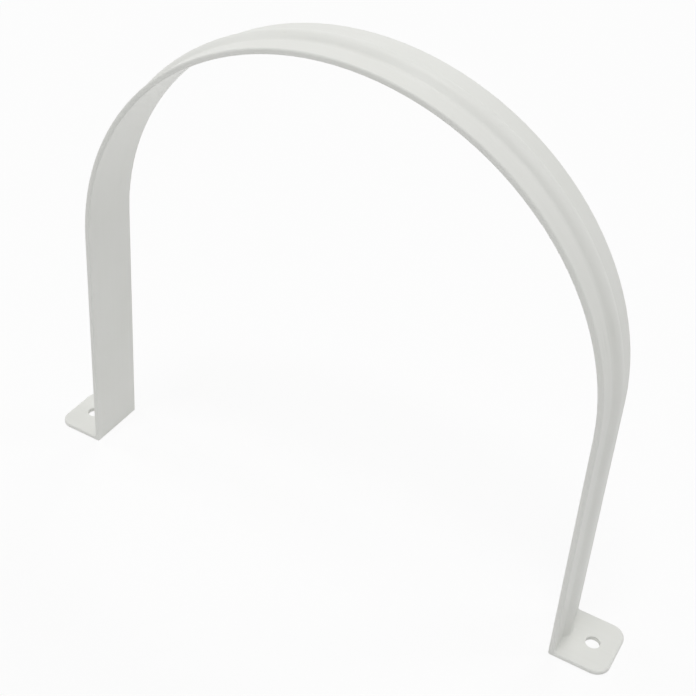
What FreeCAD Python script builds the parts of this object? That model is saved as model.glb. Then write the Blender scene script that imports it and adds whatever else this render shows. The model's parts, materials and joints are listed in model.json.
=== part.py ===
import FreeCAD, Part
import math
import os
import Sketcher

# Round pipe clamp: one moulded strap that arches over a pipe and stands on two feet, each with a screw hole.
# A rounded rib runs along the middle of the strap's outer face, from foot to foot; the inner face is plain.
# Frame: the feet stand on z = 0, midway between them is the origin, the pipe runs along y.

# Driving sizes, in millimetres and degrees
SIZES = {
    "pipe_diameter": 150.0,
    "pipe_clearance": 0.5,
    "strap_width": 18.8,
    "strap_thickness": 1.6,
    "rib_width": 7.4,
    "rib_height": 1.35,
    "rib_root_radius": 1.8,
    "leg_splay": 1.4,
    "foot_length": 16.3,
    "foot_thickness": 1.35,
    "foot_corner_radius": 4.3,
    "hole_diameter": 4.2,
    "hole_setback": 7.0,
    "bend_fillet": 0.6,
    "bend_round": 0.6,
    "edge_round": 0.6,
    "edge_break": 0.4,
}
NODE = "pipe_clamp"
TOLERANCE = 1e-3

# Sizes that follow from the driving ones, as the document works them out
PIPE_RADIUS = "sizes.pipe_diameter / 2"
ARCH_RADIUS = "(sizes.pipe_diameter / 2 + sizes.pipe_clearance)"
SPLAY = "sizes.leg_splay * 1 deg"
LEG_REACH = f"({ARCH_RADIUS} / cos({SPLAY}) + {PIPE_RADIUS} * tan({SPLAY}))"


def make_sheet(doc):
    sheet = doc.addObject("Spreadsheet::Sheet", "sizes")
    for row, (name, value) in enumerate(SIZES.items(), start=1):
        sheet.set(f"A{row}", name)
        sheet.set(f"B{row}", str(value))
        sheet.setAlias(f"B{row}", name)
    doc.recompute()
    return sheet


def plane(body, role):
    return next(feature for feature in body.Origin.OriginFeatures if feature.Role == role)


def new_sketch(body, name, role):
    sketch = body.newObject("Sketcher::SketchObject", name)
    sketch.AttachmentSupport = [(plane(body, role), "")]
    sketch.MapMode = "FlatFace"
    return sketch


def drive(sketch, name, expression, kind, *places):
    """Adds a named dimension to a sketch and binds it to the sheet."""
    start = sketch.evalExpression(expression)
    start = math.radians(start.Value) if kind == "Angle" else float(getattr(start, "Value", start))
    index = sketch.addConstraint(Sketcher.Constraint(kind, *places, start))
    sketch.renameConstraint(index, name)
    sketch.setExpression(f"Constraints.{name}", expression)


def point(x, y):
    return FreeCAD.Vector(x, y, 0)


# Points of a sketch: a curve's start, end and centre, counted from one, then the sketch's axes and origin
START, END, CENTRE = range(1, 4)
H_AXIS, V_AXIS = range(-1, -3, -1)
ORIGIN = (H_AXIS, START)


def tie(sketch, kind, *places):
    sketch.addConstraint(Sketcher.Constraint(kind, *places))


def strap_path(body, size):
    """The strap's inner line, seen along the pipe: leg, arch and leg, standing on the base."""
    radius = size["arch_radius"]
    height = size["pipe_radius"]
    splay = size["splay"]
    reach = size["leg_reach"]
    shoulder = point(radius * math.cos(splay), height + radius * math.sin(splay))
    sketch = new_sketch(body, "strap_path", "XZ_Plane")
    right_leg = sketch.addGeometry(Part.LineSegment(point(reach, 0), shoulder))
    circle = Part.Circle(point(0, height), FreeCAD.Vector(0, 0, 1), radius)
    arch = sketch.addGeometry(Part.ArcOfCircle(circle, splay, math.pi - splay))
    left_leg = sketch.addGeometry(Part.LineSegment(point(-shoulder.x, shoulder.y), point(-reach, 0)))
    tie(sketch, "Tangent", right_leg, END, arch, START)
    tie(sketch, "Tangent", arch, END, left_leg, START)
    tie(sketch, "PointOnObject", arch, CENTRE, V_AXIS)
    tie(sketch, "PointOnObject", right_leg, START, H_AXIS)
    tie(sketch, "Symmetric", right_leg, START, left_leg, END, V_AXIS)
    drive(sketch, "axis_height", PIPE_RADIUS, "DistanceY", *ORIGIN, arch, CENTRE)
    drive(sketch, "arch_radius", ARCH_RADIUS, "Radius", arch)
    drive(sketch, "leg_angle", f"90 deg + {SPLAY}", "Angle", right_leg)
    return sketch


def strap_section(body, size):
    """The strap cut square across: x away from the pipe, y along it, the inner face on the y axis."""
    half_width = size["strap_width"] / 2
    face = size["strap_thickness"]
    half_rib = size["rib_width"] / 2
    rise = size["rib_height"]
    root = size["rib_root_radius"]
    slope = 2 * math.atan(rise / half_rib)
    crest_radius = half_rib / math.sin(slope) - root
    crest_centre = point(face + rise - crest_radius, 0)
    upright = FreeCAD.Vector(0, 0, 1)

    sketch = new_sketch(body, "strap_section", "XY_Plane")
    inner = sketch.addGeometry(Part.LineSegment(point(0, -half_width), point(0, half_width)))
    rear_edge = sketch.addGeometry(Part.LineSegment(point(0, half_width), point(face, half_width)))
    rear_band = sketch.addGeometry(Part.LineSegment(point(face, half_width), point(face, half_rib)))
    rear_circle = Part.Circle(point(face + root, half_rib), upright, root)
    rear_root = sketch.addGeometry(Part.ArcOfCircle(rear_circle, math.pi, math.pi + slope))
    crest_circle = Part.Circle(crest_centre, upright, crest_radius)
    crest = sketch.addGeometry(Part.ArcOfCircle(crest_circle, -slope, slope))
    front_circle = Part.Circle(point(face + root, -half_rib), upright, root)
    front_root = sketch.addGeometry(Part.ArcOfCircle(front_circle, math.pi - slope, math.pi))
    front_band = sketch.addGeometry(Part.LineSegment(point(face, -half_rib), point(face, -half_width)))
    front_edge = sketch.addGeometry(Part.LineSegment(point(face, -half_width), point(0, -half_width)))
    summit = sketch.addGeometry(Part.Point(point(face + rise, 0)), True)

    tie(sketch, "Coincident", inner, END, rear_edge, START)
    tie(sketch, "Coincident", rear_edge, END, rear_band, START)
    tie(sketch, "Tangent", rear_band, END, rear_root, START)
    tie(sketch, "Tangent", rear_root, END, crest, END)
    tie(sketch, "Tangent", crest, START, front_root, START)
    tie(sketch, "Tangent", front_root, END, front_band, START)
    tie(sketch, "Coincident", front_band, END, front_edge, START)
    tie(sketch, "Coincident", front_edge, END, inner, START)
    tie(sketch, "PointOnObject", inner, START, V_AXIS)
    tie(sketch, "Symmetric", inner, START, inner, END, H_AXIS)
    tie(sketch, "Horizontal", rear_edge)
    tie(sketch, "Horizontal", front_edge)
    tie(sketch, "Vertical", rear_band)
    tie(sketch, "Vertical", front_band)
    tie(sketch, "Equal", rear_edge, front_edge)
    tie(sketch, "Equal", rear_band, front_band)
    tie(sketch, "PointOnObject", crest, CENTRE, H_AXIS)
    tie(sketch, "PointOnObject", summit, START, crest)
    tie(sketch, "PointOnObject", summit, START, H_AXIS)
    drive(sketch, "width", "sizes.strap_width", "DistanceY", inner, START, inner, END)
    drive(sketch, "thickness", "sizes.strap_thickness", "DistanceX", rear_edge, START, rear_edge, END)
    drive(sketch, "rib_width", "sizes.rib_width", "DistanceY", front_band, START, rear_band, END)
    drive(sketch, "rib_height", "sizes.rib_height", "DistanceX", rear_band, END, summit, START)
    drive(sketch, "root_radius", "sizes.rib_root_radius", "Radius", rear_root)

    # The section stands square to the foot of the right leg, which leans by the splay
    lean = FreeCAD.Rotation(FreeCAD.Vector(0, -1, 0), math.degrees(size["splay"]))
    sketch.AttachmentOffset = FreeCAD.Placement(point(size["leg_reach"], 0), lean)
    sketch.setExpression("AttachmentOffset.Base.x", LEG_REACH)
    sketch.setExpression("AttachmentOffset.Rotation.Angle", SPLAY)
    return sketch


def foot_outline(body, size):
    """The right foot seen from above, with its two outer corners rounded."""
    inside = size["leg_reach"]
    outside = inside + size["foot_length"]
    half_width = size["strap_width"] / 2
    corner = size["foot_corner_radius"]
    upright = FreeCAD.Vector(0, 0, 1)

    sketch = new_sketch(body, "foot_outline", "XY_Plane")
    front = sketch.addGeometry(
        Part.LineSegment(point(inside, -half_width), point(outside - corner, -half_width)))
    front_circle = Part.Circle(point(outside - corner, -half_width + corner), upright, corner)
    front_corner = sketch.addGeometry(Part.ArcOfCircle(front_circle, -math.pi / 2, 0))
    tip = sketch.addGeometry(
        Part.LineSegment(point(outside, -half_width + corner), point(outside, half_width - corner)))
    rear_circle = Part.Circle(point(outside - corner, half_width - corner), upright, corner)
    rear_corner = sketch.addGeometry(Part.ArcOfCircle(rear_circle, 0, math.pi / 2))
    rear = sketch.addGeometry(
        Part.LineSegment(point(outside - corner, half_width), point(inside, half_width)))
    heel = sketch.addGeometry(Part.LineSegment(point(inside, half_width), point(inside, -half_width)))

    tie(sketch, "Tangent", front, END, front_corner, START)
    tie(sketch, "Tangent", front_corner, END, tip, START)
    tie(sketch, "Tangent", tip, END, rear_corner, START)
    tie(sketch, "Tangent", rear_corner, END, rear, START)
    tie(sketch, "Coincident", rear, END, heel, START)
    tie(sketch, "Coincident", heel, END, front, START)
    tie(sketch, "Horizontal", front)
    tie(sketch, "Horizontal", rear)
    tie(sketch, "Vertical", tip)
    tie(sketch, "Symmetric", heel, START, heel, END, H_AXIS)
    tie(sketch, "Equal", front_corner, rear_corner)
    drive(sketch, "width", "sizes.strap_width", "DistanceY", heel, END, heel, START)
    drive(sketch, "leg_reach", LEG_REACH, "DistanceX", *ORIGIN, heel, START)
    drive(sketch, "length", "sizes.foot_length", "DistanceX", heel, END, tip, START)
    drive(sketch, "corner", "sizes.foot_corner_radius", "Radius", front_corner)
    return sketch


def hole_circle(body, size):
    """The right foot's screw hole, on the foot's middle line."""
    place = size["leg_reach"] + size["foot_length"] - size["hole_setback"]
    upright = FreeCAD.Vector(0, 0, 1)
    sketch = new_sketch(body, "hole_circle", "XY_Plane")
    circle = sketch.addGeometry(Part.Circle(point(place, 0), upright, size["hole_diameter"] / 2))
    tie(sketch, "PointOnObject", circle, CENTRE, H_AXIS)
    drive(sketch, "place", f"{LEG_REACH} + sizes.foot_length - sizes.hole_setback", "DistanceX",
          *ORIGIN, circle, CENTRE)
    drive(sketch, "diameter", "sizes.hole_diameter", "Diameter", circle)
    return sketch


def edges_where(feature, wanted):
    return [f"Edge{index}" for index, edge in enumerate(feature.Shape.Edges, start=1) if wanted(edge)]


def add_fillet(body, name, base, wanted, radius_cell):
    """Rounds the wanted edges of the base feature, and the edges that run on smoothly from them."""
    names = edges_where(base, wanted)
    if not names:
        raise RuntimeError(f"{name} finds no edge to round")
    fillet = body.newObject("PartDesign::Fillet", name)
    fillet.Base = (base, names)
    fillet.setExpression("Radius", f"sizes.{radius_cell}")
    body.Document.recompute()
    return fillet


def near(value, target):
    return abs(value - target) < TOLERANCE


def round_edges(body, base, size):
    """The fillet inside each bend, the round outside it, then the rims of the outer and inner faces."""
    face = size["strap_thickness"]
    foot_top = size["foot_thickness"]
    reach = size["leg_reach"]
    leg_side = reach + face + size["rib_height"]
    rim = -size["strap_width"] / 2

    def inside_bend(edge):
        box = edge.BoundBox
        flat = near(box.ZMin, foot_top) and near(box.ZMax, foot_top)
        return flat and max(abs(box.XMin), abs(box.XMax)) < leg_side

    def outside_bend(edge):
        box = edge.BoundBox
        low = near(box.ZMin, 0) and near(box.ZMax, 0)
        return low and near(abs(box.XMin), reach) and near(abs(box.XMax), reach)

    def front_rim(radius):
        def wanted(edge):
            box = edge.BoundBox
            round_edge = isinstance(edge.Curve, Part.Circle) and near(edge.Curve.Radius, radius)
            return round_edge and near(box.YMin, rim) and near(box.YMax, rim)
        return wanted

    feature = add_fillet(body, "bend_fillets", base, inside_bend, "bend_fillet")
    feature = add_fillet(body, "bend_rounds", feature, outside_bend, "bend_round")
    feature = add_fillet(body, "outer_rim", feature, front_rim(size["arch_radius"] + face), "edge_round")
    return add_fillet(body, "inner_rim", feature, front_rim(size["arch_radius"]), "edge_break")


def make_clamp(doc, size):
    body = doc.addObject("PartDesign::Body", NODE)
    path = strap_path(body, size)
    section = strap_section(body, size)
    doc.recompute()
    strap = body.newObject("PartDesign::AdditivePipe", "strap")
    strap.Profile = section
    strap.Spine = path
    doc.recompute()

    foot = body.newObject("PartDesign::Pad", "foot")
    foot.Profile = foot_outline(body, size)
    foot.setExpression("Length", "sizes.foot_thickness")
    doc.recompute()
    solid_foot = foot.Shape.Volume

    hole = body.newObject("PartDesign::Pocket", "screw_hole")
    hole.Profile = hole_circle(body, size)
    hole.Type = "ThroughAll"
    hole.Reversed = True
    doc.recompute()
    drilled = math.pi * (size["hole_diameter"] / 2) ** 2 * size["foot_thickness"]
    if not near(solid_foot - hole.Shape.Volume, drilled):
        raise RuntimeError("the screw hole doesn't go through its foot")

    feet = body.newObject("PartDesign::Mirrored", "both_feet")
    feet.Originals = [foot, hole]
    feet.MirrorPlane = (plane(body, "YZ_Plane"), [""])
    body.Tip = feet
    doc.recompute()

    body.Tip = round_edges(body, feet, size)
    body.Label = NODE
    doc.recompute()
    return body


def read_sizes(sheet):
    """The sheet's sizes as numbers, with those that follow from them, for a sketch's first drawing."""
    size = {name: float(getattr(sheet, name)) for name in SIZES}
    size["pipe_radius"] = size["pipe_diameter"] / 2
    size["arch_radius"] = size["pipe_radius"] + size["pipe_clearance"]
    splay = math.radians(size["leg_splay"])
    size["splay"] = splay
    size["leg_reach"] = size["arch_radius"] / math.cos(splay) + size["pipe_radius"] * math.tan(splay)
    return size


def check(doc, body):
    for item in doc.Objects:
        if "Invalid" in item.State or "Error" in item.State:
            raise RuntimeError(f"{item.Name} failed: {item.State}")
    shape = body.Shape
    if shape.isNull() or not shape.isValid() or len(shape.Solids) != 1:
        raise RuntimeError("the clamp isn't one sound solid")


def main():
    doc = FreeCAD.newDocument("round_pipe_clamp")
    size = read_sizes(make_sheet(doc))
    clamp = make_clamp(doc, size)
    check(doc, clamp)
    os.makedirs("parts", exist_ok=True)
    clamp.Shape.exportStep(os.path.join("parts", f"{clamp.Label}.step"))
    print(clamp.Label, "volume", round(clamp.Shape.Volume, 1), "box", clamp.Shape.BoundBox)


main()
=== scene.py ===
import json
import math

import bpy
from mathutils import Matrix, Vector


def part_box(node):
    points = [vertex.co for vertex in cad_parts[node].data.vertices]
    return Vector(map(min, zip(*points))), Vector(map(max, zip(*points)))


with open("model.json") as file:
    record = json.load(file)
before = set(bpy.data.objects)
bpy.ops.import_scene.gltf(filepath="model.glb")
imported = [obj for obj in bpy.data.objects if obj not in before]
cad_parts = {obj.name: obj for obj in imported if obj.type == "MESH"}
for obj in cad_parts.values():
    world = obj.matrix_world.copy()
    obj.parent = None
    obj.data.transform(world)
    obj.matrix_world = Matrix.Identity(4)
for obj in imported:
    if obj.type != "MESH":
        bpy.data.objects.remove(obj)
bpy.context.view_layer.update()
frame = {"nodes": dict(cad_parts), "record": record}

# Round pipe clamp: one white moulded strap with a rib along its back, standing on its two feet.
NODE = "pipe_clamp"
SEAT = "pipe_seat"
MILLIMETRE = 0.001

# Camera: angles in degrees, lens in millimetres
AZIMUTH = 28.53
ELEVATION = 37.11
ROLL = 3.69
LENS = 64.16
CAMERA_SHIFT = (0.0381, -0.0050)
CAMERA_DISTANCE = 2.193  # in clamp heights
AIM_ACROSS = -0.0207  # in clamp widths
AIM_UP = 0.4229  # in clamp heights

# Plastic: a scale is cells to the metre, or cells along and across the strap; a depth is in metres
SCUFF_GREY = (0.600, 0.604, 0.580, 1.0)
WARM_WHITE = (0.780, 0.786, 0.750, 1.0)
COOL_WHITE = (0.806, 0.810, 0.780, 1.0)
COLOUR_STOPS = (0.0, 0.35, 0.65)
BLEND_RANGE = (0.3, 0.7)
ROUGHNESS_RANGE = (0.38, 0.52)
SPECULAR_LEVEL = 0.42
CLOUD_SCALE = 45.0
CLOUD_DETAIL = 3.0
CLOUD_SHARE = 0.7
MARK_SCALE = (25.0, 900.0)
MARK_DETAIL = 2.0
MARK_STRENGTH = 0.12
MARK_DEPTH = 0.1 * MILLIMETRE
SCUFF_SCALE = (160.0, 420.0)
SCUFF_DETAIL = 4.0
SCUFF_RANGE = (0.66, 0.82)
SCUFF_WEIGHT = 0.5
GRAIN_SCALE = 2600.0
GRAIN_DETAIL = 2.0
GRAIN_STRENGTH = 0.15
GRAIN_DEPTH = 0.05 * MILLIMETRE

# Lights: each lamp's place and size in clamp widths, and its watts
WHITE = (1.0, 1.0, 1.0, 1.0)
SKY_STRENGTH = 0.427
LAMPS = {
    "overhead": ((0.0, -3.0, 11.0), 3.0, 11.4),
    "rear": ((0.0, 5.0, 9.0), 2.5, 4.9),
    "left": ((-8.0, 0.0, 6.0), 2.5, 3.8),
    "right_rear": ((6.0, 4.5, 7.0), 2.5, 3.0),
}

# Stage: the floor's reach, and where it starts and ends to fade into the backdrop, are in clamp widths
BACKDROP_STRENGTH = 1.0
FLOOR_COLOUR = (0.93, 0.93, 0.93, 1.0)
FLOOR_GLOW = 0.86  # the share of the backdrop's white that the floor shows near the clamp
FLOOR_REACH = 40.0
FLOOR_FADE = (3.0, 10.0)


class Nodes:
    """Shorthand for building one node tree."""

    def __init__(self, tree):
        self.tree = tree
        tree.nodes.clear()

    def add(self, kind, inputs=None, **settings):
        """A new node, with each input linked where its value is a socket, and set where it isn't."""
        node = self.tree.nodes.new(kind)
        for name, value in settings.items():
            setattr(node, name, value)
        for name, value in (inputs or {}).items():
            if isinstance(value, bpy.types.NodeSocket):
                self.tree.links.new(value, node.inputs[name])
            else:
                node.inputs[name].default_value = value
        return node

    def math(self, operation, *values):
        return self.add("ShaderNodeMath", dict(enumerate(values)), operation=operation).outputs[0]

    def remap(self, value, source, target):
        return self.add("ShaderNodeMapRange", {
            "Value": value, "From Min": source[0], "From Max": source[1],
            "To Min": target[0], "To Max": target[1]}).outputs[0]

    def noise(self, vector, scale, detail):
        inputs = {"Vector": vector, "Scale": scale, "Detail": detail}
        return self.add("ShaderNodeTexNoise", inputs).outputs["Fac"]

    def bump(self, height, strength, depth, below=None):
        inputs = {"Height": height, "Strength": strength, "Distance": depth}
        if below is not None:
            inputs["Normal"] = below
        return self.add("ShaderNodeBump", inputs).outputs[0]

    def mix(self, share, first, second):
        inputs = {0: share, 1: first.outputs[0], 2: second.outputs[0]}
        return self.add("ShaderNodeMixShader", inputs).outputs[0]


def material(name):
    """A new material, and the shorthand for its nodes."""
    made = bpy.data.materials.new(name)
    made.use_nodes = True
    return made, Nodes(made.node_tree)


class StrapPlace:
    """Where a surface point lies along the strap and across it, in metres."""

    def __init__(self, nodes, point, centre_height, radius):
        self.nodes = nodes
        split = nodes.add("ShaderNodeSeparateXYZ", {0: point})
        x, self.across = split.outputs["X"], split.outputs["Y"]
        rise = nodes.math("SUBTRACT", split.outputs["Z"], centre_height)
        angle = nodes.math("ARCTAN2", nodes.math("MAXIMUM", rise, 0.0), x)
        round_arch = nodes.math("MULTIPLY", angle, radius)
        down_leg = nodes.math("MULTIPLY", nodes.math("MINIMUM", rise, 0.0), nodes.math("SIGN", x))
        self.along = nodes.math("ADD", round_arch, down_leg)

    def noise(self, scale, detail):
        """Noise with one scale along the strap and another across it."""
        along = self.nodes.math("MULTIPLY", self.along, scale[0])
        across = self.nodes.math("MULTIPLY", self.across, scale[1])
        vector = self.nodes.add("ShaderNodeCombineXYZ", {"X": along, "Y": across}).outputs[0]
        return self.nodes.noise(vector, scale=1.0, detail=detail)


def moulded_plastic(centre_height, radius):
    """Satin white plastic with faint clouds, draw marks and scuffs, over a fine moulded grain."""
    made, nodes = material("moulded_white_plastic")
    point = nodes.add("ShaderNodeTexCoord").outputs["Object"]
    strap = StrapPlace(nodes, point, centre_height, radius)
    clouds = nodes.noise(point, CLOUD_SCALE, CLOUD_DETAIL)
    marks = strap.noise(MARK_SCALE, MARK_DETAIL)
    clean = nodes.remap(strap.noise(SCUFF_SCALE, SCUFF_DETAIL), SCUFF_RANGE, (1.0, 1.0 - SCUFF_WEIGHT))
    grain = nodes.noise(point, GRAIN_SCALE, GRAIN_DETAIL)

    cloud_part = nodes.math("MULTIPLY", clouds, CLOUD_SHARE)
    blend = nodes.math("MULTIPLY_ADD", marks, 1.0 - CLOUD_SHARE, cloud_part)
    shade = nodes.add("ShaderNodeValToRGB", {"Fac": nodes.math("MULTIPLY", blend, clean)})
    stops = shade.color_ramp.elements
    stops.new(COLOUR_STOPS[1])
    for stop, position, colour in zip(stops, COLOUR_STOPS, (SCUFF_GREY, WARM_WHITE, COOL_WHITE)):
        stop.position = position
        stop.color = colour
    waves = nodes.bump(marks, MARK_STRENGTH, MARK_DEPTH)
    skin = nodes.add("ShaderNodeBsdfPrincipled", {
        "Base Color": shade.outputs[0],
        "Roughness": nodes.remap(blend, BLEND_RANGE, ROUGHNESS_RANGE),
        "Normal": nodes.bump(grain, GRAIN_STRENGTH, GRAIN_DEPTH, waves),
        "Specular IOR Level": SPECULAR_LEVEL})
    nodes.add("ShaderNodeOutputMaterial", {"Surface": skin.outputs[0]})
    return made


def seen_ray(nodes):
    """1 for the rays that show the stage itself, straight or in a reflection or through glass."""
    path = nodes.add("ShaderNodeLightPath").outputs
    mirrored = nodes.math("MAXIMUM", path["Is Glossy Ray"], path["Is Transmission Ray"])
    return nodes.math("MAXIMUM", path["Is Camera Ray"], mirrored)


def pale_floor(width):
    """A matt surface that keeps a faint shadow, and fades into the white backdrop further out."""
    made, nodes = material("pale_floor")
    matt = nodes.add("ShaderNodeBsdfDiffuse", {"Color": FLOOR_COLOUR})
    glow = nodes.add("ShaderNodeEmission", {"Color": WHITE, "Strength": BACKDROP_STRENGTH})
    place = nodes.add("ShaderNodeTexCoord").outputs["Object"]
    away = nodes.add("ShaderNodeVectorMath", {0: place}, operation="LENGTH").outputs["Value"]
    white = nodes.remap(away, [fade * width for fade in FLOOR_FADE], (FLOOR_GLOW, 1.0))
    share = nodes.math("MULTIPLY", seen_ray(nodes), white)
    nodes.add("ShaderNodeOutputMaterial", {"Surface": nodes.mix(share, matt, glow)})
    return made


def make_floor(ground, width):
    """One wide square under the clamp's feet."""
    reach = FLOOR_REACH * width
    corners = [(side * reach, end * reach, ground) for side, end in ((-1, -1), (1, -1), (1, 1), (-1, 1))]
    mesh = bpy.data.meshes.new("floor")
    mesh.from_pydata(corners, [], [range(len(corners))])
    mesh.materials.append(pale_floor(width))
    floor = bpy.data.objects.new("floor", mesh)
    bpy.context.collection.objects.link(floor)


def make_world():
    """An even soft light on the clamp, and a white backdrop behind it."""
    world = bpy.data.worlds.new("studio")
    world.use_nodes = True
    nodes = Nodes(world.node_tree)
    light = nodes.add("ShaderNodeBackground", {"Color": WHITE, "Strength": SKY_STRENGTH})
    backdrop = nodes.add("ShaderNodeBackground", {"Color": WHITE, "Strength": BACKDROP_STRENGTH})
    nodes.add("ShaderNodeOutputWorld", {"Surface": nodes.mix(seen_ray(nodes), light, backdrop)})
    bpy.context.scene.world = world


def softbox(name, place, target, size, power):
    """A square lamp that faces the target, and that the camera doesn't see."""
    lamp = bpy.data.lights.new(name, "AREA")
    lamp.size = size
    lamp.energy = power
    made = bpy.data.objects.new(name, lamp)
    made.location = place
    made.rotation_euler = (place - target).to_track_quat("Z", "Y").to_euler()
    made.visible_camera = False
    bpy.context.collection.objects.link(made)


def make_camera(low, high):
    """A camera at the photograph's viewing angle, for a clamp with these lowest and highest corners."""
    size = high - low
    aim = Vector((AIM_ACROSS * size.x, 0.0, low.z + AIM_UP * size.z))
    turn = math.radians(AZIMUTH)
    lift = math.radians(ELEVATION)
    back = Vector((math.sin(turn) * math.cos(lift), -math.cos(turn) * math.cos(lift), math.sin(lift)))
    facing = back.to_track_quat("Z", "Y").to_matrix() @ Matrix.Rotation(math.radians(ROLL), 3, "Z")
    camera = bpy.data.objects.new("camera", bpy.data.cameras.new("camera"))
    camera.data.lens = LENS
    camera.data.shift_x, camera.data.shift_y = CAMERA_SHIFT
    camera.matrix_world = Matrix.Translation(aim + back * CAMERA_DISTANCE * size.z) @ facing.to_4x4()
    bpy.context.collection.objects.link(camera)
    bpy.context.scene.camera = camera


def main():
    low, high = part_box(NODE)
    width = high.x - low.x
    seat = next(mount for mount in frame["record"]["mounts"] if mount["name"] == SEAT)
    arch_centre = Vector(seat["pos_m"])
    radius = seat["dims"]["r_mm"] * MILLIMETRE
    clamp = frame["nodes"][NODE]
    clamp.data.materials.clear()
    clamp.data.materials.append(moulded_plastic(arch_centre.z, radius))

    make_floor(low.z, width)
    make_world()
    for name, (place, size, power) in LAMPS.items():
        softbox(name, Vector(place) * width, arch_centre, size * width, power)
    make_camera(low, high)
    bpy.context.scene.view_settings.view_transform = "Standard"


main()
